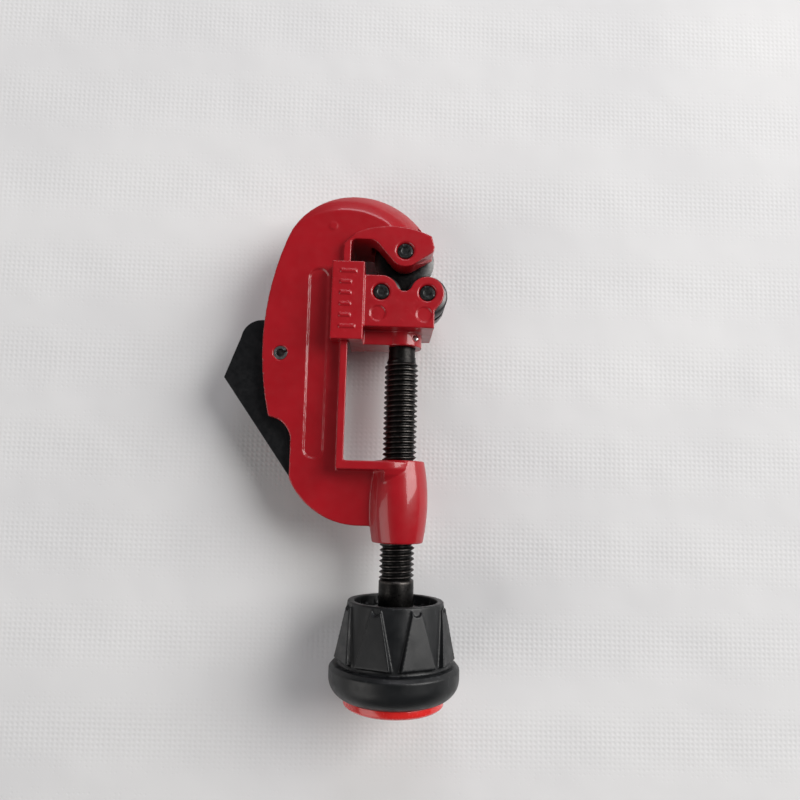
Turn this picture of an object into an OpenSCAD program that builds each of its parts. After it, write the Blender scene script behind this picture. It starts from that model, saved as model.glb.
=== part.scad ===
// Pipe cutter with a C-shaped cast frame, twin rollers on a slide block, a feed
// screw with a knob and a fold-out reamer.
// X+ is the open side of the frame, Y+ runs along the feed screw towards the
// hook, Z is the direction of the tube being cut. The origin is the cutting
// point: the lowest point of the cutting wheel, on the axis of the feed screw.

/* [Capacity] */

// Smallest tube that the rollers press against the wheel
tube_min = 2; // [1:0.5:8]
// Largest tube that fits between the rollers and the wheel
tube_max = 30; // [16:1:42]

/* [Cutting wheel] */

// Diameter over the cutting edge
wheel_d = 18; // [14:0.5:24]
// Width of the hub
hub_w = 5; // [3:0.5:7]
// Diameter of the hub
hub_d = 9.4; // [8:0.2:11]
// Thickness of the disc
disc_w = 2.6; // [1.5:0.1:4]
// Width of the ground bevel, measured along the radius
bevel_w = 2.2; // [1:0.1:4]
// Diameter of the pin that the wheel turns on
wheel_pin_d = 4.7; // [3:0.1:6]

/* [Rollers] */

// Diameter of a roller
roller_d = 12; // [9:0.5:16]
// Length of a roller
roller_len = 13; // [10:0.5:18]
// Distance between the two roller pins
roller_pitch = 13.2; // [12:0.2:18]
// Width of the waist that the cutting edge runs into
waist_w = 3; // [1.6:0.2:5]
// Diameter of a roller pin
roller_pin_d = 4.7; // [3:0.1:6]

/* [Slide block] */

// Thickness of each roller plate
plate_t = 2.8; // [2:0.2:4]
// Width of the guide that wraps the rail
guide_w = 9.1; // [7.5:0.1:12]
// Length of the guide along the rail
guide_len = 22.5; // [16:0.5:32]
// Thickness of the guide lip above the rail
lip_t = 2.2; // [1.4:0.1:3.5]
// Play between the block and the rail
slide_gap = 0.3; // [0.15:0.05:0.5]

/* [Frame] */

// Distance from the screw axis to the rail
throat_depth = 15.6; // [14:0.2:24]
// Width of the rail
rail_w = 2.1; // [1.5:0.1:3]
// Thickness of the frame over the rails and ears
frame_t = 19; // [17:0.5:26]
// Width of the frame from the rail to its outer edge
back_w = 17.9; // [15:0.1:24]
// Radius of the long curve of the back
back_r = 85; // [70:1:140]
// Radius of the ear around the wheel pin
ear_r = 4.7; // [4:0.1:7]
// Half thickness of the web at its lower end
web_low = 2.4; // [2.2:0.1:4]
// Slope of each side of the web, in degrees
web_slope = 3.7; // [2:0.1:5]
// Length of the threaded boss
boss_len = 23; // [16:0.5:32]
// Diameter of the boss at its middle
boss_d = 16.8; // [15:0.2:22]
// Amount by which the boss narrows to each end, on the radius
boss_bulge = 1.2; // [0.4:0.1:2]

/* [Feed screw] */

// Diameter over the thread
thread_d = 9.8; // [8:0.2:12]
// Rise of the thread for each turn
thread_pitch = 1.5; // [1:0.25:2]
// Depth of the thread
thread_depth = 0.8; // [0.5:0.05:1.2]
// Play between the thread and the boss, on the radius
thread_gap = 0.12; // [0.05:0.01:0.3]
// Diameter of the plain end that turns in the block
neck_d = 7.8; // [6:0.1:9]
// Diameter of the groove that the keeper pin runs in
groove_d = 5.5; // [4:0.1:6]
// Diameter of the keeper pin that holds the screw in the block
keeper_d = 1.7; // [1.2:0.1:2.2]

/* [Knob] */

// Gap between the boss and the knob with the cutter closed
knob_gap = 15.7; // [6:0.1:30]
// Length of the knob without its cap
knob_len = 25.4; // [22:0.1:40]
// Largest diameter of the knob
knob_d = 36; // [32:0.5:50]
// Diameter of the front rim
rim_d = 26.8; // [24:0.2:36]
// Diameter of the cap
cap_d = 27.6; // [25:0.2:36]
// Number of raised panels around the knob
panel_count = 8; // [5:1:12]

/* [Reamer] */

// Thickness of the blade
blade_t = 1.8; // [1.2:0.1:2.4]
// Diameter of the hollow pin
reamer_pin_d = 3.9; // [3:0.1:5]
// Reach of the blade from its pin to its tip
blade_reach = 36; // [28:0.5:44]

/* [Hidden] */

$fn = 96;
run_gap = 0.05;
hold_gap = 0.01;
deep = 60;

wheel_r = wheel_d / 2;
wheel_c = [0, wheel_r];
wheel_pin_r = wheel_pin_d / 2;
roller_r = roller_d / 2;
roller_pin_r = roller_pin_d / 2;
half_pitch = roller_pitch / 2;
ft = frame_t / 2;

// Height of the roller axes when a tube of diameter d touches both rollers and the wheel
function roller_y(d) = -d / 2 - sqrt(max(0, pow(roller_r + d / 2, 2) - pow(half_pitch, 2)));
// Closed, the rollers touch the smallest tube, or stop where the wheel would reach the wall of their bores
waist_wall = 1;
wheel_gap = 0.45;
waist_least = roller_pin_r + run_gap + waist_wall;
ry = min(roller_y(tube_min), wheel_r - sqrt(pow(wheel_r + wheel_gap + waist_least, 2) - pow(half_pitch, 2)));
travel = ry - roller_y(tube_max);

// Block
inner_z = roller_len / 2 + 0.2;
outer_z = inner_z + plate_t;
lobe_r = 4.8;
pocket_r = roller_r + 0.35;
body_low = ry - 10.3;
rail_x = -throat_depth;
rail_out = rail_x - rail_w;
guide_in = rail_x + slide_gap;
guide_right = rail_out - 2.8 + guide_w;
guide_left = guide_right - guide_w;
guide_top = ry + 7.8;
guide_low = guide_top - guide_len;
lip_z = ft + slide_gap;
lip_top = lip_z + lip_t;
plate_right = half_pitch + 2.1;
rib_z = neck_d / 2 + 0.9;
neck_r = neck_d / 2;
barrel_r = neck_r + 1.8;
rib_low = guide_low + 0.2;
play = 0.1;

// Frame
foot_top = guide_low - travel - 1.8;
foot_w = 2.4;
boss_top = foot_top + 0.5;
boss_low = boss_top - boss_len;
boss_r = boss_d / 2;
web_bottom = boss_low + 4.5;
nose_reach = wheel_r + 1;
hook_r = (nose_reach - rail_out + back_w) / 2;
hook_c = wheel_c + [nose_reach - hook_r, -4.8];
slot_z = hub_w / 2 + 0.15;
slot_r = wheel_r + 1.3;
crown_deep = 13;
crown_r = 16;
crown_drop = 7;
draft = 3.4;

// Screw stations, measured from the cutting point towards the knob
keeper_r = keeper_d / 2;
keeper_x = groove_d / 2 + play + keeper_r;
keeper_s = -rib_low - 2.4;
keeper_half = sqrt(pow(barrel_r, 2) - pow(keeper_x + keeper_r, 2));
tip_s = pocket_r - ry + 2.8;
thread_top = -rib_low + 2.8;
rim_s = -boss_low + knob_gap;
thread_low = rim_s - 5.2;
thread_r = thread_d / 2;
root_r = thread_r - thread_depth;
shank_r = thread_r + 0.05;
hub_top = rim_s + 2;
hex_r = thread_r - 0.5;
hex_low = rim_s + 12.9;

// Knob stations
band_s = rim_s + 16.6;
knob_end = rim_s + knob_len;
floor_s = rim_s + 14.9;
cavity_r = wheel_r + 2;
hub_r = 6.8;
rim_r = rim_d / 2;
knob_r = knob_d / 2;
core_r = knob_r - 2.6;
peg_r = wheel_pin_r - 0.05;
cap_t = 2.3;
cap_lip = 0.7;

// Reamer
pivot = [rail_out - 17.2, -21.2];
blade_slot = blade_t + 0.7;
washer_z = blade_slot / 2 - 0.45;
blade_mid = -0.2;
reamer_pin_r = reamer_pin_d / 2;
tip_dir = -83.5;
blade_tip = pivot + blade_reach * [cos(tip_dir), sin(tip_dir)];
heel = pivot + [-16.7, -6.7];
crest_c = pivot + [-6.4, 4.6];
crest_rad = 6.1;
eye_r = 6.5;
heel_r = 18.4;
swing_r = 14.6;

// ---- shared helpers ----

function arc(c, r, a0, a1, n = 16) =
    [for (i = [0:n]) let (a = a0 + (a1 - a0) * i / n) c + r * [cos(a), sin(a)]];

function heading(v) = atan2(v[1], v[0]);

// Angle of the tangent point on circle a for a line that also touches circle b,
// both circles on the same side of the line (side = 1 or -1)
function outer_tangent(a, ra, b, rb, side) =
    heading(b - a) + side * acos((ra - rb) / norm(b - a));

// The same for a line that crosses between the two circles
function cross_tangent(a, ra, b, rb, side) =
    heading(b - a) + side * acos((ra + rb) / norm(b - a));

module both_sides() {
    children();
    mirror([0, 0, 1]) children();
}

module plate(z0, z1) {
    translate([0, 0, z0]) linear_extrude(z1 - z0) children();
}

module box(x0, x1, y0, y1, z0, z1) {
    translate([x0, y0, z0]) cube([x1 - x0, y1 - y0, z1 - z0]);
}

module pin_at(c, r, z0, z1) {
    translate([c[0], c[1], z0]) cylinder(h = z1 - z0, r = r);
}

// Puts a shape drawn upwards in Z onto the screw axis, its Z running towards the knob
module on_screw() {
    rotate([90, 0, 0]) children();
}

module station(s0, s1, r) {
    translate([0, 0, s0]) cylinder(h = s1 - s0, r = r);
}

// ---- thread ----

// A right-hand ridge as one closed surface. Each column of points climbs four
// points a turn and each next column sits a little higher, so the seam closes
// one turn up. The first and last turn fade into the root.
module thread_solid(s0, turns, root, crest, fade, sides = 20) {
    rise = [0.06, 0.38, 0.62, 0.94];
    rows = 4 * turns;
    function ridge(m) = (m % 4 == 1 || m % 4 == 2) ? 1 : 0;
    function up(m) = floor(m / 4) + rise[m % 4];
    function rad(i, m) =
        let (t = up(m) + i / sides, f = fade ? max(0, min(1, t / 1.2, (turns - t) / 1.2)) : 1)
        root + (crest - root) * f * ridge(m);
    function pt(i, m) = let (a = 360 * i / sides, r = rad(i, m))
        [r * cos(a), r * sin(a), s0 + thread_pitch * (up(m) + i / sides)];
    points = concat(
        [for (i = [0:sides - 1]) for (m = [0:rows + 3]) pt(i, m)],
        [[0, 0, s0 + thread_pitch * 0.5], [0, 0, s0 + thread_pitch * (turns + 0.5)]]
    );
    tall = rows + 4;
    low = sides * tall;
    high = low + 1;
    function id(i, m) = i < sides ? i * tall + m : m + 4;
    faces = concat(
        [for (i = [0:sides - 1]) for (m = [0:rows - 2])
            each [[id(i, m), id(i, m + 1), id(i + 1, m)],
                  [id(i + 1, m), id(i, m + 1), id(i + 1, m + 1)]]],
        [for (i = [0:sides - 1]) [low, id(i, 0), id(i + 1, 0)]],
        [for (m = [0:3]) [low, m + 1, m]],
        [for (i = [0:sides - 1]) [high, id(i + 1, rows - 1), id(i, rows - 1)]],
        [for (m = [0:3]) [high, rows - 1 + m, rows + m]]
    );
    polyhedron(points, faces);
}

// ---- frame ----

nose_r = 2;
nose_dir = 16.6;
nose_c = hook_c + (hook_r - nose_r) * [cos(nose_dir), sin(nose_dir)];
ear_c = wheel_c;
ceil_y = wheel_r + 3.1;
ceil_r = 4;
ceil_c = [rail_x + 4.9, ceil_y - ceil_r];
corner_r = 1.5;
ceil_turn = cross_tangent(ceil_c, ceil_r, ear_c, ear_r, 1);
nose_turn = outer_tangent(ear_c, ear_r, nose_c, nose_r, -1);
back_mid = -19;
back_c = hook_c + [sqrt(pow(back_r - hook_r, 2) - pow(hook_c[1] - back_mid, 2)), 0]
    - [0, hook_c[1] - back_mid];
back_turn = heading(hook_c - back_c);
low_r = 22;
low_c = [rail_x + 4.4, web_bottom + low_r];
notch_r = 7;
notch_c = [low_c[0] - low_r - 4.9, low_c[1] + 1.1];
back_end = 180 + asin((back_mid - notch_c[1] - 3) / back_r);

// Boundary from the rail over the throat to the nose, the nose drawn back by inset
function throat_edge(inset = 0) = concat(
    arc([rail_x + corner_r, ceil_y - corner_r], corner_r, 180, 90, 6),
    arc(ceil_c, ceil_r, 90, ceil_turn, 8),
    arc(ear_c, ear_r, 180 + ceil_turn, 360 + nose_turn, 20),
    arc(nose_c - [inset, 0], nose_r, nose_turn, nose_dir, 8)
);

module frame_outline() {
    polygon(concat(
        [[0, web_bottom], [0, foot_top], [rail_x, foot_top]],
        throat_edge(),
        arc(hook_c, hook_r, nose_dir, back_turn, 48),
        arc(back_c, back_r, back_turn + 1.2, back_end, 29),
        arc(low_c, low_r, 185, 270, 28)
    ));
}

// The crown is widest over the nose and runs out along the top of the back
crown_shift = 5 * [cos(200), sin(200)];
crown_c = hook_c + crown_shift;
crown_path = norm(hook_r * [cos(60), sin(60)] - crown_shift);

module edge_crown(c, r, a0, a1) {
    translate(c) rotate([0, 0, a0]) rotate_extrude(angle = a1 - a0)
    difference() {
        translate([r - crown_deep, -ft - 2]) square([crown_deep + 3, frame_t + 4]);
        intersection() {
            translate([r - crown_deep, -crown_drop]) circle(crown_r);
            translate([r - crown_deep, crown_drop]) circle(crown_r);
        }
    }
}

// Everything beyond the sloping side of the web, in that side's own plane
module web_plane() {
    translate([0, web_bottom, web_low]) rotate([web_slope, 0, 0]) children();
}

module web_body() {
    difference() {
        plate(-ft, ft) frame_outline();
        both_sides() web_plane() translate([-80, -20, 0]) cube([120, 150, 20]);
        edge_crown(crown_c, crown_path, nose_dir - 19, 175);
    }
}

// Flat face of the hook, from the rail to the nose
pad_r = 25;
pad_c = [-3.8, wheel_r + 7.3 - pad_r];
pad_start = heading(nose_c + [0.3, 3.1] - pad_c);
pad_inset = 0.7;

module ear_pad() {
    polygon(concat(
        [[rail_out, foot_top], [rail_x, foot_top]],
        throat_edge(pad_inset),
        arc(pad_c, pad_r, pad_start, 115, 24),
        [[rail_out, ceil_y - 1.5]]
    ));
}

module foot_strip() {
    box(rail_out, -boss_r + 4.5, foot_top - foot_w, foot_top, -ft, ft);
    // round shoulder that sinks into the barrel of the boss
    both_sides() intersection() {
        box(-boss_r + 4, boss_r - 1.5, foot_top - 9, foot_top, 0, ft);
        translate([-boss_r + 4.6, 0, ft - boss_r - 0.35]) on_screw() translate([0, 0, -foot_top])
            rotate_extrude() polygon([
                [0, 0], [boss_r + 0.35, 0], [boss_r + 0.35, foot_w - 0.4],
                [boss_r - 0.3, foot_w + 1.2], [boss_r - 3.4, foot_w + 5], [0, foot_w + 5]
            ]);
    }
}

module boss() {
    bow = (pow(boss_len / 2, 2) + pow(boss_bulge, 2)) / (2 * boss_bulge);
    on_screw() translate([0, 0, -boss_top]) rotate_extrude()
    intersection() {
        square([boss_r, boss_len]);
        translate([boss_r - bow, boss_len / 2]) circle(bow);
    }
}

module thumb_notch() {
    pin_at(notch_c, notch_r, -deep / 2, deep / 2);
    box(notch_c[0] - 20, notch_c[0] + notch_r, notch_c[1] - 20, notch_c[1], -ft, ft);
}

module reamer_slot() {
    z = blade_slot / 2;
    pin_at(pivot, swing_r, -z, z);
    intersection() {
        pin_at(pivot, heel_r + 0.4, -z, z);
        box(pivot[0] - 30, pivot[0] + 4, pivot[1] - 30, pivot[1] + 30, -z - 1, z + 1);
    }
    plate(-z, z) polygon([
        pivot + [-24, 2], pivot + [-2, 6], pivot + [8.2, -4], blade_tip + [2.2, 3],
        blade_tip + [1.6, -1.6], blade_tip + [-10, -2], pivot + [-24, -14]
    ]);
}

panel_x = rail_out - 6.9;
panel_w = 5.6;
panel_top = 3.9;
panel_low = foot_top + 0.5;
panel_deep = 0.45;

module side_panel() {
    web_plane() translate([0, 0, -panel_deep]) linear_extrude(3)
    translate([panel_x, 0]) {
        translate([0, panel_top - web_bottom - panel_w / 2]) circle(panel_w / 2);
        translate([0, panel_low - web_bottom + panel_w / 2]) circle(panel_w / 2);
        translate([-panel_w / 2, panel_low - web_bottom + panel_w / 2])
            square([panel_w, panel_top - panel_low - panel_w]);
    }
}

module frame() {
    color([0.62, 0.05, 0.07])
    difference() {
        union() {
            difference() {
                web_body();
                both_sides() side_panel();
                thumb_notch();
            }
            plate(-ft, ft) ear_pad();
            foot_strip();
            boss();
            both_sides() pin_at(hook_c + [-8.2, 12.2], 1.1, 0, 8.1);
        }
        pin_at(wheel_c, slot_r, -slot_z, slot_z);
        box(-slot_r, slot_r + 8, -5, wheel_r, -slot_z, slot_z);
        pin_at(wheel_c, wheel_pin_r + hold_gap, -deep, deep);
        both_sides() translate([wheel_c[0], wheel_c[1], ft - 0.5])
            cylinder(h = 0.6, r1 = wheel_pin_r + hold_gap, r2 = wheel_pin_r + 0.6);
        // draft on the inner wall of the rail
        translate([rail_x, foot_top + 0.3, ft - 0.6]) rotate([0, draft, 0]) translate([0, 0, -deep / 2])
            cube([3, ceil_y - corner_r - foot_top - 0.6, deep]);
        reamer_slot();
        pin_at(pivot, reamer_pin_r + hold_gap, -deep, deep);
        on_screw() thread_solid(tap_top, tap_turns, root_r + thread_gap, thread_r + thread_gap, false);
    }
}

tap_skip = floor((-boss_top - thread_top) / thread_pitch) - 2;
tap_top = thread_top + tap_skip * thread_pitch;
tap_turns = ceil(boss_len / thread_pitch) + 4;

// ---- cutting wheel and its pin ----

module wheel_solid() {
    half = disc_w / 2;
    difference() {
        rotate_extrude() polygon([
            [0, -hub_w / 2], [hub_d / 2 - 0.4, -hub_w / 2], [hub_d / 2, -hub_w / 2 + 0.4],
            [hub_d / 2, -half], [wheel_r - bevel_w, -half], [wheel_r, -0.04],
            [wheel_r, 0.04], [wheel_r - bevel_w, half], [hub_d / 2, half],
            [hub_d / 2, hub_w / 2 - 0.4], [hub_d / 2 - 0.4, hub_w / 2], [0, hub_w / 2]
        ]);
        cylinder(h = hub_w + 2, r = wheel_pin_r + run_gap, center = true);
    }
}

module cutter_wheel() {
    color([0.09, 0.09, 0.1]) translate([wheel_c[0], wheel_c[1], 0]) wheel_solid();
}

module round_pin(r, len) {
    tip = 0.4;
    rotate_extrude() polygon([
        [0, -len / 2], [r - tip, -len / 2], [r, -len / 2 + tip], [r, len / 2 - tip],
        [r - tip, len / 2], [0, len / 2]
    ]);
}

module wheel_pin() {
    color([0.2, 0.21, 0.21]) translate([wheel_c[0], wheel_c[1], 0])
    difference() {
        round_pin(wheel_pin_r, frame_t - 0.6);
        both_sides() translate([0, 0, ft - 0.8]) cylinder(h = 1, r = wheel_pin_r * 0.45);
    }
}

// ---- rollers ----

module roller_solid() {
    waist_r = norm([half_pitch, wheel_r - ry]) - wheel_r - wheel_gap;
    half = roller_len / 2;
    difference() {
        rotate_extrude() polygon([
            [0, -half], [roller_r - 0.5, -half], [roller_r, -half + 0.5],
            [roller_r, -waist_w / 2], [waist_r, -waist_w / 2 + 0.6],
            [waist_r, waist_w / 2 - 0.6], [roller_r, waist_w / 2],
            [roller_r, half - 0.5], [roller_r - 0.5, half], [0, half]
        ]);
        cylinder(h = roller_len + 2, r = roller_pin_r + run_gap, center = true);
    }
}

module at_roller(side) {
    translate([side * half_pitch, ry, 0]) children();
}

module roller_left() {
    color([0.1, 0.1, 0.11]) at_roller(-1) roller_solid();
}

module roller_right() {
    color([0.1, 0.1, 0.11]) at_roller(1) roller_solid();
}

module roller_pin_left() {
    color([0.2, 0.21, 0.21]) at_roller(-1) round_pin(roller_pin_r, 2 * outer_z - 0.6);
}

module roller_pin_right() {
    color([0.2, 0.21, 0.21]) at_roller(1) round_pin(roller_pin_r, 2 * outer_z - 0.6);
}

// ---- slide block ----

// Round hollow between the two lobes of a roller plate
dip_r = half_pitch - lobe_r + 0.5;
dip_rise = sqrt(pow(lobe_r + dip_r, 2) - pow(half_pitch, 2));
dip_turn = atan2(dip_rise, half_pitch);

module roller_plate() {
    low = body_low;
    polygon(concat(
        [[guide_right - 1, low], [plate_right, low], [plate_right, ry - 5]],
        arc([half_pitch, ry], lobe_r, -38, 180 - dip_turn, 24),
        arc([0, ry + dip_rise], dip_r, -dip_turn, dip_turn - 180, 12),
        arc([-half_pitch, ry], lobe_r, dip_turn, 90, 8),
        [[guide_right - 1, ry + lobe_r]]
    ));
}

// Guide around one face of the rail
module guide_wrap(low) {
    box(guide_in, guide_right, low, guide_top, 0, lip_top);
    box(guide_left, guide_right, low, guide_top, lip_z, lip_top);
    box(guide_left, rail_out - slide_gap, low, guide_top, ft - 1.9, lip_top);
}

module block_body() {
    box(guide_in, plate_right, body_low, ry - 3.7, -inner_z - 0.5, inner_z + 0.5);
    box(guide_in, 0, rib_low, body_low + 1, -rib_z, rib_z);
    on_screw() station(-body_low - 1, -rib_low, barrel_r);
    box(guide_in, guide_right, guide_low, guide_top, -rib_z, 0);
    guide_wrap(guide_low);
    mirror([0, 0, 1]) guide_wrap(body_low);
    both_sides() plate(inner_z, outer_z) roller_plate();
}

tick_x = guide_left + 2.4;

module slide_block() {
    color([0.66, 0.06, 0.08])
    difference() {
        union() {
            block_body();
            for (i = [0:5])
                box(tick_x, tick_x + (i % 5 == 0 ? 4.4 : 3), guide_low + 3.2 + 3.2 * i,
                    guide_low + 4 + 3.2 * i, lip_top - 0.1, lip_top + 0.3);
        }
        for (side = [-1, 1]) {
            at_roller(side) cylinder(h = 2 * inner_z, r = pocket_r, center = true);
            at_roller(side) cylinder(h = deep, r = roller_pin_r + hold_gap, center = true);
            at_roller(side) both_sides() translate([0, 0, outer_z - 0.4])
                cylinder(h = 0.5, r1 = roller_pin_r + hold_gap, r2 = roller_pin_r + 0.5);
            both_sides() pin_at([side * half_pitch - 0.8, ry - 6.4], 2.2, outer_z - 0.3, deep);
        }
        // socket for the screw's plain end, crossed by the keeper pin
        on_screw() station(tip_s - play, -rib_low + 1, neck_r + run_gap);
        pin_at([keeper_x, -keeper_s], keeper_r + hold_gap, -deep, deep);
    }
}

// ---- feed screw ----

module feed_screw() {
    turns = floor((thread_low - thread_top) / thread_pitch) + 2;
    color([0.11, 0.11, 0.12]) on_screw()
    difference() {
        union() {
            translate([0, 0, tip_s]) cylinder(h = 0.6, r1 = neck_r - 0.6, r2 = neck_r);
            station(tip_s + 0.6, keeper_s - keeper_r - play, neck_r);
            station(keeper_s - keeper_r - 0.5, keeper_s + keeper_r + 0.5, groove_d / 2);
            station(keeper_s + keeper_r + play, thread_top + 1.2 * thread_pitch, neck_r);
            thread_solid(thread_top, turns, root_r, thread_r, true);
            station(thread_low, hub_top, shank_r);
            translate([0, 0, hub_top - 0.5]) cylinder(h = hex_low - hub_top + 0.5, r = hex_r, $fn = 6);
        }
        station(hex_low - 9, hex_low + 1, 2);
    }
}

module ring(s0, s1, r_in, r_out) {
    difference() {
        station(s0, s1, r_out);
        station(s0 - 1, s1 + 1, r_in);
    }
}

module keeper_pin() {
    color([0.55, 0.55, 0.56]) translate([keeper_x, -keeper_s, 0])
        round_pin(keeper_r, 2 * keeper_half - 0.2);
}

// ---- knob, its fixings, cap and the spare wheel kept inside ----

module knob_profile() {
    bowl_r = knob_end - band_s - 3.4;
    difference() {
        union() {
            polygon([[0, rim_s], [rim_r, rim_s], [core_r, band_s + 0.5], [0, band_s + 0.5]]);
            polygon(concat(
                [[0, band_s], [knob_r - 0.9, band_s], [knob_r, band_s + 1]],
                [for (a = [0:6:72]) [
                    knob_r - 6 + 6 * cos(a), band_s + 3.4 + bowl_r / sin(72) * sin(a)
                ]],
                [[cap_d / 2, knob_end], [0, knob_end]]
            ));
        }
        translate([hub_r, rim_s - 1]) square([rim_r - 1.7 - hub_r, 11]);
        translate([-1, rim_s - 1]) square([hub_r + 1.1, 3]);
        translate([-1, floor_s]) square([cavity_r + 1, knob_len]);
    }
}

module knob_panel() {
    tilt = 7.1;
    tall = band_s - rim_s - 1;
    translate([0, 0, rim_s + 1.5]) rotate([90 - tilt, 0, 0])
    translate([0, 0, -rim_r - 0.8]) linear_extrude(3)
    polygon(concat(
        arc([0, 1.2], 1.3, -15, 195, 12),
        [[-5, tall], [5, tall]]
    ));
}

module knob() {
    color([0.07, 0.07, 0.08]) on_screw()
    difference() {
        union() {
            rotate_extrude() knob_profile();
            for (i = [0:panel_count - 1]) rotate([0, 0, 360 * (i + 0.5) / panel_count]) knob_panel();
            for (i = [0:panel_count - 1]) rotate([0, 0, 360 * i / panel_count])
                translate([hub_r - 1, -0.6, rim_s + 2.6]) cube([rim_r - hub_r - 0.2, 1.2, 8]);
        }
        translate([0, 0, hub_top]) cylinder(h = hex_low - hub_top + 0.05, r = hex_r + hold_gap, $fn = 6);
        station(hex_low - 1, floor_s + 1, 2.15);
    }
}

knob_washer_t = 1;
screw_head = 2.6;

module knob_washer() {
    color([0.6, 0.6, 0.61]) on_screw() ring(floor_s, floor_s + knob_washer_t, 2.15, 4.8);
}

module knob_screw() {
    head_s = floor_s + knob_washer_t;
    color([0.6, 0.6, 0.61]) on_screw()
    difference() {
        union() {
            station(hex_low - 7, head_s + 0.2, 2 - hold_gap);
            station(head_s, head_s + screw_head, 3.6);
        }
        for (turn = [0, 90]) rotate([0, 0, turn])
            translate([-2.4, -0.45, head_s + screw_head - 1.3]) cube([4.8, 0.9, 2]);
    }
}

module knob_cap() {
    color([0.75, 0.05, 0.05]) on_screw() {
        rotate_extrude() polygon(concat(
            [[0, knob_end], [cap_d / 2, knob_end], [cap_d / 2, knob_end + cap_t - cap_lip]],
            [[cap_d / 2 - cap_lip, knob_end + cap_t], [0, knob_end + cap_t]]
        ));
        ring(knob_end - 3.6, knob_end + 0.2, cavity_r - 1.3, cavity_r - 0.06);
        station(knob_end - hub_w - 0.9, knob_end + 0.2, peg_r);
    }
}

module spare_cutter_wheel() {
    color([0.3, 0.3, 0.31]) on_screw()
    translate([0, 0, knob_end - hub_w / 2 - 0.15]) wheel_solid();
}

// ---- reamer ----

module blade_outline() {
    eye_low = heading(blade_tip - pivot) + 90;
    polygon(concat(
        arc(crest_c, crest_rad, 172, 62, 14),
        arc(pivot, eye_r, 50, -10, 10),
        [blade_tip + [0.9, 2.2], blade_tip, heel]
    ));
}

module reamer_blade() {
    edge = blade_tip - heel;
    color([0.08, 0.08, 0.09])
    difference() {
        plate(blade_mid - blade_t / 2, blade_mid + blade_t / 2) blade_outline();
        pin_at(pivot, reamer_pin_r + run_gap, -deep, deep);
        // ground edge
        translate([0, 0, 2 * blade_mid]) mirror([0, 0, 1])
            translate([heel[0], heel[1], blade_mid + blade_t / 2]) rotate([0, 0, heading(edge)])
            translate([-5, -0.01, 0]) rotate([22, 0, 0]) translate([0, -4, -1.1])
            cube([norm(edge) + 10, 7, 6]);
    }
}

module reamer_pin() {
    len = 2 * (web_low + (pivot[1] - web_bottom) * tan(web_slope)) - 0.3;
    color([0.25, 0.26, 0.26]) translate([pivot[0], pivot[1], 0])
    difference() {
        cylinder(h = len, r = reamer_pin_r, center = true);
        cylinder(h = len + 2, r = reamer_pin_r - 0.75, center = true);
        rotate([0, 0, 20]) translate([0, -0.35, -len]) cube([4, 0.7, 2 * len]);
    }
}

module reamer_washer() {
    color([0.5, 0.5, 0.51])
    difference() {
        pin_at(pivot, 4, washer_z + 0.02, blade_slot / 2 - 0.02);
        pin_at(pivot, reamer_pin_r + run_gap, -deep, deep);
    }
}

frame();
cutter_wheel();
wheel_pin();
slide_block();
roller_left();
roller_right();
roller_pin_left();
roller_pin_right();
feed_screw();
keeper_pin();
knob();
knob_washer();
knob_screw();
knob_cap();
spare_cutter_wheel();
reamer_blade();
reamer_pin();
reamer_washer();
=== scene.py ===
import math

import bmesh
import bpy
from mathutils import Matrix, Vector


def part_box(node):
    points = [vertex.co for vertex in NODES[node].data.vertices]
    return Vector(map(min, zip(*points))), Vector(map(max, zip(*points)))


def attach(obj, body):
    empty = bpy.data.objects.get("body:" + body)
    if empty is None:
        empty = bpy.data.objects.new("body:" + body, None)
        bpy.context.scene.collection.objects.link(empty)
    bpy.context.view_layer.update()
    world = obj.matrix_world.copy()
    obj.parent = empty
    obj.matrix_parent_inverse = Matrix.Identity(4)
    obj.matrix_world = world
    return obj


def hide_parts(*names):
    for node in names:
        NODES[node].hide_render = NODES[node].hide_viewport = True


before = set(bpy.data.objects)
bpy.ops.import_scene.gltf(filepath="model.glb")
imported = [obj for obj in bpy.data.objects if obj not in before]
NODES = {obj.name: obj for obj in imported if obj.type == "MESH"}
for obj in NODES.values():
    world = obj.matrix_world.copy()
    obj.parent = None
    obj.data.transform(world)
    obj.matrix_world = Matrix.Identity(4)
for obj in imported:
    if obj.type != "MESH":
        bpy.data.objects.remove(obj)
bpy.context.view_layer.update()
MM = 0.001


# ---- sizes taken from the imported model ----

def middle(node):
    low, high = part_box(node)
    return (low + high) / 2


def span(node):
    low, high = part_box(node)
    return high - low


WHEEL_AT = middle("cutter_wheel")
LEFT_AT = middle("roller_left")
RIGHT_AT = middle("roller_right")
PIVOT_AT = middle("reamer_pin")
SCREW_LOW, SCREW_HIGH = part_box("feed_screw")
KNOB_LOW, KNOB_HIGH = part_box("knob")
BLOCK_LOW, BLOCK_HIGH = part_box("slide_block")


# ---- materials ----

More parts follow.
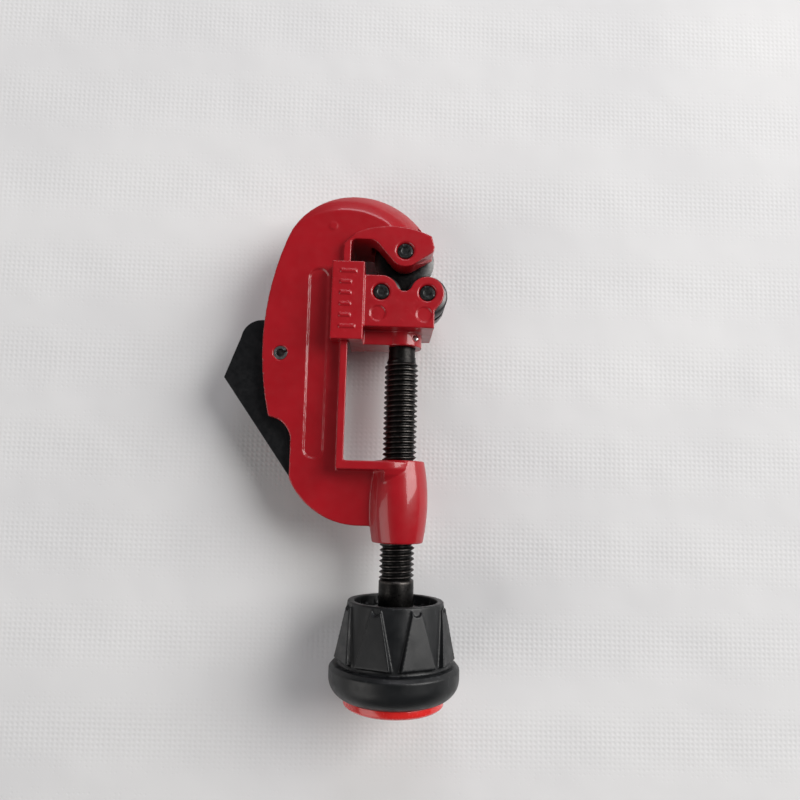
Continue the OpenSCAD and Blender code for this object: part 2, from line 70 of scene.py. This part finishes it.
class Finish:
    """One procedural material: a Principled shader and the nodes that feed it."""

    def __init__(self, name, **sockets):
        self.material = bpy.data.materials.new(name)
        self.material.use_nodes = True
        self.tree = self.material.node_tree
        self.shader = self.tree.nodes["Principled BSDF"]
        for socket, value in sockets.items():
            self.shader.inputs[socket.replace("_", " ")].default_value = value
        self.coords = self.tree.nodes.new("ShaderNodeTexCoord").outputs["Object"]
        self.height = None

    def node(self, kind, **settings):
        made = self.tree.nodes.new(kind)
        for key, value in settings.items():
            setattr(made, key, value)
        return made

    def link(self, source, target):
        self.tree.links.new(source, target)
        return target.node

    def noise(self, size_mm, detail=3.0, rough=0.55, stretch=(1, 1, 1)):
        grain = self.node("ShaderNodeTexNoise")
        grain.inputs["Scale"].default_value = 1.0 / (size_mm * MM)
        grain.inputs["Detail"].default_value = detail
        grain.inputs["Roughness"].default_value = rough
        mapping = self.node("ShaderNodeMapping")
        mapping.inputs["Scale"].default_value = stretch
        self.link(self.coords, mapping.inputs["Vector"])
        self.link(mapping.outputs[0], grain.inputs["Vector"])
        return grain.outputs["Fac"]

    def ramp(self, value, low, high, start=0.0, end=1.0):
        spread = self.node("ShaderNodeMapRange")
        self.link(value, spread.inputs["Value"])
        for socket, number in zip(("From Min", "From Max", "To Min", "To Max"), (start, end, low, high)):
            spread.inputs[socket].default_value = number
        return spread.outputs[0]

    def mix(self, share, dark, light):
        blend = self.node("ShaderNodeMix", data_type="RGBA")
        self.link(share, blend.inputs[0])
        for socket, colour in ((blend.inputs[6], dark), (blend.inputs[7], light)):
            if isinstance(colour, bpy.types.NodeSocket):
                self.link(colour, socket)
            else:
                socket.default_value = (*colour, 1.0)
        return blend.outputs[2]

    def maths(self, operation, first, second=None):
        made = self.node("ShaderNodeMath", operation=operation)
        for socket, value in zip(made.inputs, (first, second)):
            if isinstance(value, bpy.types.NodeSocket):
                self.link(value, socket)
            elif value is not None:
                socket.default_value = value
        return made.outputs[0]

    def edges(self, low=0.52, high=0.6):
        """1 along outer edges, 0 on flats and in hollows."""
        shape = self.node("ShaderNodeNewGeometry")
        return self.ramp(shape.outputs["Pointiness"], 0.0, 1.0, low, high)

    def axis_part(self, axis, at=0.0):
        """Distance along one object axis from a plane, in metres."""
        parts = self.node("ShaderNodeSeparateXYZ")
        self.link(self.coords, parts.inputs[0])
        return self.maths("SUBTRACT", parts.outputs[axis], at)

    def radius(self, across, up, at=(0.0, 0.0)):
        """Distance from a line that runs along the third axis."""
        a = self.axis_part(across, at[0])
        b = self.axis_part(up, at[1])
        squares = self.maths("ADD", self.maths("MULTIPLY", a, a), self.maths("MULTIPLY", b, b))
        return self.maths("SQRT", squares)

    def colour(self, value):
        self.link(value, self.shader.inputs["Base Color"])

    def gloss(self, value):
        self.link(value, self.shader.inputs["Roughness"])

    def bump(self, value, depth_mm, strength=1.0):
        lift = self.node("ShaderNodeBump")
        lift.inputs["Strength"].default_value = strength
        lift.inputs["Distance"].default_value = depth_mm * MM
        self.link(value, lift.inputs["Height"])
        if self.height is not None:
            self.link(self.height, lift.inputs["Normal"])
        self.height = lift.outputs[0]
        self.link(self.height, self.shader.inputs["Normal"])


def cast_enamel():
    """Thick glossy red enamel over a die casting."""
    f = Finish(
        "cast_enamel_red", Roughness=0.34, Specular_IOR_Level=0.3, Coat_Weight=0.5, Coat_Roughness=0.07
    )
    cloud = f.noise(9.0, 4.0)
    speck = f.noise(0.3, 2.0)
    base = f.mix(f.ramp(cloud, 0, 1, 0.3, 0.7), (0.31, 0.0035, 0.0085), (0.36, 0.005, 0.0115))
    # Outer edges painted lighter red: partly worn enamel, partly a painted edge highlight.
    edge_wear_and_highlight = f.mix(f.ramp(f.edges(0.53, 0.62), 0, 0.22), base, (0.46, 0.02, 0.03))
    f.colour(f.mix(f.ramp(speck, 0, 0.07, 0.66, 0.8), edge_wear_and_highlight, (0.16, 0.004, 0.008)))
    f.gloss(f.ramp(f.noise(2.6, 3.0), 0.3, 0.42, 0.3, 0.7))
    f.bump(f.noise(1.5, 2.0), 0.012)
    f.bump(f.noise(8.0, 2.0), 0.035)
    f.bump(speck, 0.003)
    return f.material


def cap_plastic():
    """Bright glossy red plastic of the cap."""
    f = Finish("cap_plastic_red", Roughness=0.22, Coat_Weight=0.35, Coat_Roughness=0.06)
    f.colour(f.mix(f.ramp(f.noise(5.0), 0, 1, 0.35, 0.65), (0.62, 0.014, 0.012), (0.72, 0.022, 0.018)))
    f.gloss(f.ramp(f.noise(0.8), 0.18, 0.3, 0.3, 0.7))
    f.bump(f.noise(0.5, 2.0), 0.008)
    return f.material


def moulded_black():
    """Satin black plastic with a spark-eroded grain, dust, and outer edges painted lighter, partly handling
    wear and partly a painted edge highlight.
    """
    f = Finish("moulded_plastic_black", Roughness=0.4, Specular_IOR_Level=0.36)
    grain = f.noise(0.22, 2.0)
    base = f.mix(f.ramp(f.noise(7.0), 0, 1, 0.3, 0.7), (0.0038, 0.0044, 0.005), (0.0066, 0.0074, 0.0084))
    # Outer edges painted lighter: partly handling wear, partly a painted edge highlight.
    edge_wear_and_highlight = f.mix(f.ramp(f.edges(0.53, 0.64), 0, 0.5), base, (0.028, 0.03, 0.033))
    dust = f.ramp(f.noise(0.7, 4.0, 0.7), 0, 0.2, 0.66, 0.8)
    f.colour(f.mix(dust, edge_wear_and_highlight, (0.04, 0.04, 0.042)))
    f.gloss(f.ramp(f.noise(3.2, 3.0), 0.34, 0.5, 0.3, 0.7))
    f.bump(grain, 0.014)
    f.bump(f.noise(4.0), 0.02)
    return f.material


def black_screw_steel():
    """Black oxide with the thread's crests painted lighter: partly rubbed to bare steel, partly a painted
    highlight along the crests.
    """
    f = Finish("screw_black_oxide", Metallic=0.9, Roughness=0.36)
    crest = f.ramp(f.radius(0, 2), 0, 1, SCREW_RADIUS - 0.2 * MM, SCREW_RADIUS - 0.02 * MM)
    along = f.axis_part(1)
    threaded = f.maths("MULTIPLY", f.ramp(along, 1, 0, -THREAD_TOP, -THREAD_TOP + 0.6 * MM),
                       f.ramp(along, 0, 1, -THREAD_LOW - 0.6 * MM, -THREAD_LOW))
    patches = f.ramp(f.noise(1.6, 4.0, 0.65), 0.2, 0.85, 0.35, 0.65)
    base = f.mix(f.ramp(f.noise(0.9, 4.0), 0, 1, 0.3, 0.7), (0.009, 0.0085, 0.0085), (0.022, 0.0205, 0.0195))
    # Thread crests painted light steel: partly rubbed bare, partly a painted crest highlight.
    crest_wear_and_highlight = f.maths("MULTIPLY", f.maths("MULTIPLY", crest, patches), threaded)
    f.colour(f.mix(crest_wear_and_highlight, base, (0.13, 0.118, 0.11)))
    f.gloss(f.ramp(f.noise(0.5, 3.0), 0.26, 0.5, 0.3, 0.7))
    f.bump(f.noise(0.3, 3.0), 0.02)
    return f.material


def turned_steel(name, dark, light, at, rough=(0.28, 0.46), metal=0.9):
    """Steel turned on a lathe about a line along Z: fine rings on the ends, bands round the side."""
    f = Finish(name, Metallic=metal, Roughness=rough[0])
    rings = f.maths("SINE", f.maths("MULTIPLY", f.radius(0, 1, (at[0], at[1])), 2 * math.pi / (0.16 * MM)))
    bands = f.maths("SINE", f.maths("MULTIPLY", f.axis_part(2), 2 * math.pi / (0.21 * MM)))
    stain = f.ramp(f.noise(1.4, 4.0, 0.6), 0, 1, 0.32, 0.68)
    base = f.mix(stain, dark, light)
    # Outer edges painted much lighter: partly worn bare steel, partly a painted edge highlight.
    f.colour(f.mix(f.ramp(f.edges(0.52, 0.62), 0, 0.75), base, tuple(min(1, 3.2 * c + 0.05) for c in light)))
    f.gloss(f.ramp(f.noise(0.7, 3.0), rough[0], rough[1], 0.3, 0.7))
    f.bump(rings, 0.002)
    f.bump(bands, 0.002)
    f.bump(f.noise(0.4, 3.0), 0.012)
    return f.material


def ground_blade_steel():
    """Blackened flat steel with an edge ground bright."""
    f = Finish("blade_blackened", Metallic=0.55, Roughness=0.4)
    shape = f.node("ShaderNodeNewGeometry")
    turn = f.node(
        "ShaderNodeVectorTransform", vector_type="NORMAL", convert_from="WORLD", convert_to="OBJECT"
    )
    f.link(shape.outputs["True Normal"], turn.inputs[0])
    parts = f.node("ShaderNodeSeparateXYZ")
    f.link(turn.outputs[0], parts.inputs[0])
    tall = parts.outputs[2]
    ground = f.maths("MULTIPLY", f.ramp(tall, 0, 1, 0.55, 0.65), f.ramp(tall, 1, 0, 0.965, 0.985))
    scale = f.noise(2.2, 5.0, 0.65)
    grain = f.noise(0.35, 2.0, 0.5, (6.0, 1.0, 1.0))
    base = f.mix(f.ramp(scale, 0, 1, 0.3, 0.7), (0.0055, 0.006, 0.0068), (0.0105, 0.011, 0.0122))
    # Outer edges painted lighter: partly worn blackening, partly a painted edge highlight.
    edge_wear_and_highlight = f.mix(f.ramp(f.edges(0.53, 0.64), 0, 0.4), base, (0.05, 0.05, 0.053))
    f.colour(f.mix(f.maths("MULTIPLY", ground, 0.6), edge_wear_and_highlight, (0.16, 0.16, 0.165)))
    f.gloss(f.ramp(f.noise(1.2, 4.0), 0.3, 0.52, 0.3, 0.7))
    f.bump(scale, 0.025)
    f.bump(grain, 0.006)
    return f.material


def zinc_plate():
    """Zinc-plated steel of the washers and the retaining screw."""
    f = Finish("zinc_plate", Metallic=1.0, Roughness=0.3)
    f.colour(f.mix(f.ramp(f.noise(1.2, 4.0), 0, 1, 0.3, 0.7), (0.42, 0.42, 0.43), (0.62, 0.62, 0.62)))
    f.gloss(f.ramp(f.noise(0.6), 0.22, 0.42, 0.3, 0.7))
    f.bump(f.noise(0.35), 0.01)
    return f.material


# ---- making pieces ----

def finish_piece(piece, body, finish, slot, *stands_for):
    piece.data.materials.clear()
    piece.data.materials.append(finish)
    if stands_for:
        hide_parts(*stands_for)
    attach(piece, body)
    return piece


def new_object(name, bm):
    mesh = bpy.data.meshes.new(name)
    bm.to_mesh(mesh)
    bm.free()
    piece = bpy.data.objects.new(name, mesh)
    bpy.context.scene.collection.objects.link(piece)
    return piece


def smooth_shading(piece, angle=None):
    piece.data.shade_smooth()
    if angle:
        piece.data.set_sharp_from_angle(angle=math.radians(angle))


def merged_copy(node):
    """A bmesh of a CAD node with its loose triangles joined."""
    bm = bmesh.new()
    bm.from_mesh(NODES[node].data)
    bmesh.ops.remove_doubles(bm, verts=bm.verts, dist=0.0004 * MM)
    return bm


def soft_casting(name, node, voxel_mm, passes, keep):
    """The CAD shape with all its edges rounded, as a casting's or a moulding's are."""
    piece = new_object(name, merged_copy(node))
    cells = piece.modifiers.new("cells", "REMESH")
    cells.mode = "VOXEL"
    cells.voxel_size = voxel_mm * MM
    cells.adaptivity = 0.0
    ease = piece.modifiers.new("ease", "SMOOTH")
    ease.factor = 0.5
    ease.iterations = passes
    thin = piece.modifiers.new("thin", "DECIMATE")
    thin.ratio = keep
    bpy.context.view_layer.update()
    shaped = bpy.data.meshes.new_from_object(piece.evaluated_get(bpy.context.evaluated_depsgraph_get()))
    piece.modifiers.clear()
    piece.data = shaped
    smooth_shading(piece)
    return piece


def eased_copy(name, node, width_mm, segments=2, flat_deg=1.0, edge_deg=28):
    """The CAD shape with its flats cleaned and every sharp edge bevelled."""
    bm = merged_copy(node)
    bmesh.ops.dissolve_limit(
        bm, angle_limit=math.radians(flat_deg), verts=bm.verts, edges=bm.edges, use_dissolve_boundaries=False
    )
    sharp = [e for e in bm.edges if len(e.link_faces) == 2 and e.calc_face_angle() > math.radians(edge_deg)]
    bmesh.ops.bevel(
        bm, geom=sharp, offset=width_mm * MM, offset_type="OFFSET", segments=segments,
        profile=0.5, affect="EDGES", clamp_overlap=True, material=-1
    )
    piece = new_object(name, bm)
    smooth_shading(piece, 40)
    flats = piece.modifiers.new("flats", "WEIGHTED_NORMAL")
    flats.keep_sharp = True
    flats.weight = 100
    return piece


def turned(name, outline, at, along="Z", steps=96, rounding_mm=0.0, segments=3):
    """A turned solid. The outline is (radius, station) pairs in mm from the lower end to the upper."""
    bm = bmesh.new()
    points = [bm.verts.new((r * MM, 0.0, s * MM)) for r, s in outline]
    for a, b in zip(points, points[1:]):
        bm.edges.new((a, b))
    if rounding_mm:
        inner = [v for v in points[1:-1] if v.co.x > 0]
        bmesh.ops.bevel(
            bm, geom=inner, offset=rounding_mm * MM, offset_type="OFFSET", segments=segments,
            profile=0.5, affect="VERTICES", clamp_overlap=True, material=-1
        )
    bmesh.ops.spin(
        bm, geom=bm.verts[:] + bm.edges[:], cent=(0, 0, 0), axis=(0, 0, 1),
        angle=2 * math.pi, steps=steps, use_merge=True
    )
    bmesh.ops.remove_doubles(bm, verts=bm.verts, dist=0.002 * MM)
    if along == "SCREW":
        bmesh.ops.rotate(bm, verts=bm.verts, cent=(0, 0, 0), matrix=Matrix.Rotation(math.radians(90), 3, "X"))
    bmesh.ops.translate(bm, verts=bm.verts, vec=at)
    bmesh.ops.recalc_face_normals(bm, faces=bm.faces)
    piece = new_object(name, bm)
    smooth_shading(piece, 50)
    return piece


# ---- feed screw ----

SCREW_RADIUS = 4.9 * MM
PITCH = 1.5
ROOT = 4.1
NECK_R = 3.9
GROOVE_R = 2.75
GROOVE_HALF = 0.95
SHANK_R = 4.93
HEX_R = 4.3
TIP = -SCREW_HIGH.y / MM
TAIL = -SCREW_LOW.y / MM
KEEPER = -middle("keeper_pin").y / MM
RIM = -KNOB_HIGH.y / MM
THREAD_TOP = -BLOCK_LOW.y + 2.8 * MM
THREAD_LOW = (RIM - 5.2) * MM


def thread_bmesh(start, end, crest, root, steps=72):
    """A helical ridge from one station to another along the screw, its ends fading into the root."""
    bm = bmesh.new()
    flank = [
        (root, 0.0), (root, 0.10), (crest - 0.06, 0.40), (crest, 0.44),
        (crest, 0.56), (crest - 0.06, 0.60), (root, 0.90)
    ]
    points = []
    turns = round((end - start) / PITCH)
    for turn in range(turns):
        points += [bm.verts.new((r, 0, start + PITCH * (turn + h))) for r, h in flank]
    points.append(bm.verts.new((root, 0, start + PITCH * turns)))
    for a, b in zip(points, points[1:]):
        bm.edges.new((a, b))
    bmesh.ops.spin(
        bm, geom=bm.verts[:] + bm.edges[:], cent=(0, 0, 0), axis=(0, 0, 1),
        dvec=(0, 0, PITCH / steps), angle=2 * math.pi, steps=steps, use_merge=False
    )
    bmesh.ops.remove_doubles(bm, verts=bm.verts, dist=0.005)
    low, high = start + PITCH, start + PITCH * turns
    for v in bm.verts:
        r = math.hypot(v.co.x, v.co.y)
        fade = max(0.0, min(1.0, (v.co.z - low + 0.5) / 1.6, (high - v.co.z + 0.5) / 1.6))
        new = root + (r - root) * fade
        v.co.x *= new / r
        v.co.y *= new / r
    rim = [e for e in bm.edges if e.is_boundary]
    for upper in (False, True):
        loop = [e for e in rim if (sum(v.co.z for v in e.verts) / 2 > (start + end) / 2) == upper]
        out = bmesh.ops.extrude_edge_only(bm, edges=loop)
        fresh = [v for v in out["geom"] if isinstance(v, bmesh.types.BMVert)]
        level = end - 0.3 * PITCH if upper else start + 1.3 * PITCH
        for v in fresh:
            v.co.x *= 0.5
            v.co.y *= 0.5
            v.co.z = level
        bmesh.ops.pointmerge(bm, verts=fresh, merge_co=(0, 0, level))
    bmesh.ops.remove_doubles(bm, verts=bm.verts, dist=0.002)
    return bm


def stations(bm, outline, steps=72, sides_round=0.0):
    """Adds a turned body to bm. The outline is (radius, station) pairs in mm."""
    part = bmesh.new()
    points = [part.verts.new((r, 0, s)) for r, s in outline]
    for a, b in zip(points, points[1:]):
        part.edges.new((a, b))
    if sides_round:
        bmesh.ops.bevel(
            part, geom=[v for v in points[1:-1]], offset=sides_round, offset_type="OFFSET", segments=2,
            profile=0.5, affect="VERTICES", clamp_overlap=True, material=-1
        )
    bmesh.ops.spin(
        part, geom=part.verts[:] + part.edges[:], cent=(0, 0, 0), axis=(0, 0, 1),
        angle=2 * math.pi, steps=steps, use_merge=True
    )
    bmesh.ops.remove_doubles(part, verts=part.verts, dist=0.002)
    bmesh.ops.recalc_face_normals(part, faces=part.faces)
    carry = bpy.data.meshes.new("carry")
    part.to_mesh(carry)
    part.free()
    bm.from_mesh(carry)
    bpy.data.meshes.remove(carry)


def make_feed_screw():
    start = THREAD_TOP / MM - 0.3
    bm = thread_bmesh(start, RIM - 3.4, SCREW_RADIUS / MM, ROOT)
    bmesh.ops.recalc_face_normals(bm, faces=bm.faces)
    stations(bm, [
        (0, TIP), (NECK_R - 0.6, TIP), (NECK_R, TIP + 0.6), (NECK_R, KEEPER - GROOVE_HALF),
        (GROOVE_R, KEEPER - GROOVE_HALF), (GROOVE_R, KEEPER + GROOVE_HALF),
        (NECK_R, KEEPER + GROOVE_HALF), (NECK_R, start + 2.6), (0, start + 2.6)
    ], sides_round=0.08)
    stations(bm, [
        (0, RIM - 6.0), (4.2, RIM - 6.0), (SHANK_R, RIM - 5.2), (SHANK_R, RIM + 2.0),
        (HEX_R, RIM + 2.0), (HEX_R, TAIL), (0, TAIL)
    ], sides_round=0.1)
    for v in bm.verts:
        v.co *= MM
    bmesh.ops.rotate(bm, verts=bm.verts, cent=(0, 0, 0), matrix=Matrix.Rotation(math.radians(90), 3, "X"))
    piece = new_object("feed_screw_threaded", bm)
    smooth_shading(piece, 35)
    return finish_piece(piece, "spindle", black_screw_steel(), "screw_steel", "feed_screw")


# ---- castings and mouldings ----

enamel = cast_enamel()
black = moulded_black()

finish_piece(soft_casting("frame_casting", "frame", 0.27, 4, 0.4), "c_frame", enamel, "red_enamel", "frame")
finish_piece(soft_casting("slide_block_casting", "slide_block", 0.18, 3, 0.5), "carriage", enamel,
             "red_enamel", "slide_block")
finish_piece(soft_casting("knob_moulding", "knob", 0.24, 3, 0.5), "spindle", black, "black_plastic", "knob")
make_feed_screw()

finish_piece(eased_copy("reamer_blade_ground", "reamer_blade", 0.12), "reamer", ground_blade_steel(),
             "blade_steel", "reamer_blade")

# ---- rollers, wheel and pins ----

BORE_R = 2.4

for side, at in (("left", LEFT_AT), ("right", RIGHT_AT)):
    size = span("roller_" + side) / MM
    half, r = size.z / 2, size.x / 2
    roller = turned("roller_" + side + "_turned", [
        (BORE_R, -half), (r - 0.5, -half), (r, -half + 0.5), (r, -1.5), (r - 1.1, -0.9),
        (r - 1.1, 0.9), (r, 1.5), (r, half - 0.5), (r - 0.5, half), (BORE_R, half), (BORE_R, -half)
    ], at)
    look = turned_steel("roller_blackened_" + side, (0.012, 0.012, 0.013), (0.03, 0.029, 0.029), at)
    finish_piece(roller, side + "_roller", look, "roller_steel", "roller_" + side)

wheel_r = span("cutter_wheel").x / MM / 2
wheel_half = span("cutter_wheel").z / MM / 2


def wheel_outline():
    lower = [
        (BORE_R, -wheel_half), (4.3, -wheel_half), (4.7, -wheel_half + 0.4), (4.7, -1.3),
        (wheel_r - 2.2, -1.3), (wheel_r, -0.03)
    ]
    upper = [(r, -s) for r, s in reversed(lower)]
    return lower + upper + [(BORE_R, -wheel_half)]


finish_piece(turned("cutter_wheel_turned", wheel_outline(), WHEEL_AT, steps=128), "cutting_wheel",
             turned_steel("wheel_blackened", (0.011, 0.011, 0.012), (0.03, 0.0295, 0.029), WHEEL_AT),
             "wheel_steel", "cutter_wheel")

PIN_BODIES = {"wheel_pin": "c_frame", "roller_pin_left": "carriage", "roller_pin_right": "carriage"}

for name, body in PIN_BODIES.items():
    size = span(name) / MM
    r, half = size.x / 2, size.z / 2
    pin = turned(name + "_turned", [
        (0, -half + 0.12), (r * 0.42, -half + 0.12), (r * 0.5, -half), (r - 0.4, -half), (r, -half + 0.4),
        (r, half - 0.4), (r - 0.4, half), (r * 0.5, half), (r * 0.42, half - 0.12), (0, half - 0.12)
    ], middle(name), rounding_mm=0.05, segments=2)
    look = turned_steel(name + "_steel", (0.018, 0.0185, 0.0185), (0.05, 0.051, 0.05), middle(name))
    finish_piece(pin, body, look, "pin_steel", name)

keeper_at = middle("keeper_pin")
keeper_half = span("keeper_pin").z / MM / 2
keeper_r = span("keeper_pin").x / MM / 2
keeper = turned("keeper_pin_turned", [
    (0, -keeper_half), (keeper_r - 0.15, -keeper_half), (keeper_r, -keeper_half + 0.15),
    (keeper_r, keeper_half - 0.15), (keeper_r - 0.15, keeper_half), (0, keeper_half)
], keeper_at, steps=48)
finish_piece(keeper, "carriage",
             turned_steel("keeper_pin_steel", (0.3, 0.3, 0.29), (0.45, 0.45, 0.44), keeper_at, (0.2, 0.34)),
             "plated_steel", "keeper_pin")

finish_piece(eased_copy("reamer_pin_rolled", "reamer_pin", 0.08), "c_frame",
             turned_steel("reamer_pin_steel", (0.07, 0.072, 0.072), (0.15, 0.152, 0.15), PIVOT_AT),
             "pin_steel", "reamer_pin")

# ---- cap ----

cap_low, cap_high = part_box("knob_cap")
cap_r = span("knob_cap").x / MM / 2
cap_face = -cap_low.y / MM
cap_seat = -KNOB_LOW.y / MM
cap = turned("knob_cap_moulded", [
    (0, -cap_high.y / MM), (2.28, -cap_high.y / MM), (2.28, cap_seat - 0.1), (9.7, cap_seat - 0.1),
    (9.7, cap_seat - 3.5), (10.9, cap_seat - 3.5), (10.9, cap_seat), (cap_r, cap_seat),
    (cap_r, cap_face - 0.7), (cap_r - 0.75, cap_face - 0.05), (cap_r - 2.2, cap_face), (0, cap_face)
], (0, 0, 0), along="SCREW", rounding_mm=0.12)
finish_piece(cap, "cap", cap_plastic(), "red_plastic", "knob_cap")

# ---- carried-over nodes ----

zinc = zinc_plate()
for name in ("knob_washer", "knob_screw", "reamer_washer"):
    NODES[name].data.materials.clear()
    NODES[name].data.materials.append(zinc)
NODES["spare_cutter_wheel"].data.materials.clear()
NODES["spare_cutter_wheel"].data.materials.append(
    turned_steel("spare_wheel_bright", (0.2, 0.2, 0.2), (0.34, 0.34, 0.34), (0, 0)))

# ---- floor, light and camera ----

band_y = KNOB_LOW.y + 7.5 * MM
touch_y = BLOCK_HIGH.y
floor_tilt = math.atan2(BLOCK_LOW.z - KNOB_LOW.z, touch_y - band_y)


def make_floor():
    cloth = Finish("pale_cloth", Roughness=0.9, Specular_IOR_Level=0.2)
    tone = cloth.ramp(cloth.noise(60.0, 3.0), 0, 1, 0.3, 0.7)
    cloth.colour(cloth.mix(tone, (0.70, 0.70, 0.705), (0.76, 0.76, 0.76)))
    dimples = cloth.node("ShaderNodeTexVoronoi", feature="F1")
    dimples.inputs["Scale"].default_value = 1.0 / (1.5 * MM)
    dimples.inputs["Randomness"].default_value = 0.15
    cloth.link(cloth.coords, dimples.inputs["Vector"])
    cloth.bump(cloth.ramp(dimples.outputs["Distance"], 0, 1, 0.1, 0.45), 0.06)
    cloth.bump(cloth.noise(30.0, 2.0), 0.8)
    bm = bmesh.new()
    bmesh.ops.create_grid(bm, x_segments=4, y_segments=4, size=1.2)
    bmesh.ops.rotate(bm, verts=bm.verts, cent=(0, 0, 0), matrix=Matrix.Rotation(floor_tilt, 3, "X"))
    bmesh.ops.translate(bm, verts=bm.verts, vec=(0, touch_y, BLOCK_LOW.z - 0.05 * MM))
    floor = new_object("floor", bm)
    floor.data.materials.append(cloth.material)


def softbox(name, at, towards, size, power, tint=(1, 1, 1)):
    lamp = bpy.data.lights.new(name, "AREA")
    lamp.shape = "RECTANGLE"
    lamp.size, lamp.size_y = size
    lamp.energy = power
    lamp.color = tint
    light = bpy.data.objects.new(name, lamp)
    bpy.context.scene.collection.objects.link(light)
    light.location = at
    light.rotation_euler = (Vector(towards) - Vector(at)).to_track_quat("-Z", "Y").to_euler()


def make_camera():
    tilt, yaw, roll = math.radians(8.2), math.radians(1.37), math.radians(1.48)
    forward = Vector((math.sin(yaw), math.sin(tilt), -math.cos(tilt) * math.cos(yaw))).normalized()
    side = forward.cross(Vector((0, 1, 0))).normalized()
    top = side.cross(forward)
    right = side * math.cos(roll) + top * math.sin(roll)
    up = top * math.cos(roll) - side * math.sin(roll)
    camera = bpy.data.objects.new("camera", bpy.data.cameras.new("camera"))
    bpy.context.scene.collection.objects.link(camera)
    camera.data.sensor_width = 36
    camera.data.lens = 29.25
    camera.data.clip_start = 0.01
    turn = Matrix((right, up, -forward)).transposed().to_4x4()
    camera.matrix_world = Matrix.Translation((-4.77 * MM, -60.18 * MM, 188.1 * MM)) @ turn
    bpy.context.scene.camera = camera


make_floor()
make_camera()
softbox("window", (1.1, 0.42, 0.9), (0, -0.04, 0), (0.9, 1.2), 27.0, (1.0, 0.985, 0.965))
softbox("skylight", (0.12, 1.0, 0.7), (0, 0, 0), (0.6, 0.4), 3.6, (0.95, 0.93, 1.0))
softbox("room", (-1.1, -0.6, 0.7), (0, -0.04, 0), (1.2, 1.0), 8.0, (1.0, 0.97, 0.94))
world = bpy.data.worlds.new("room_light")
world.use_nodes = True
world.node_tree.nodes["Background"].inputs["Color"].default_value = (0.92, 0.95, 1.0, 1.0)
world.node_tree.nodes["Background"].inputs["Strength"].default_value = 0.1
bpy.context.scene.world = world
bpy.context.scene.view_settings.view_transform = "Standard"
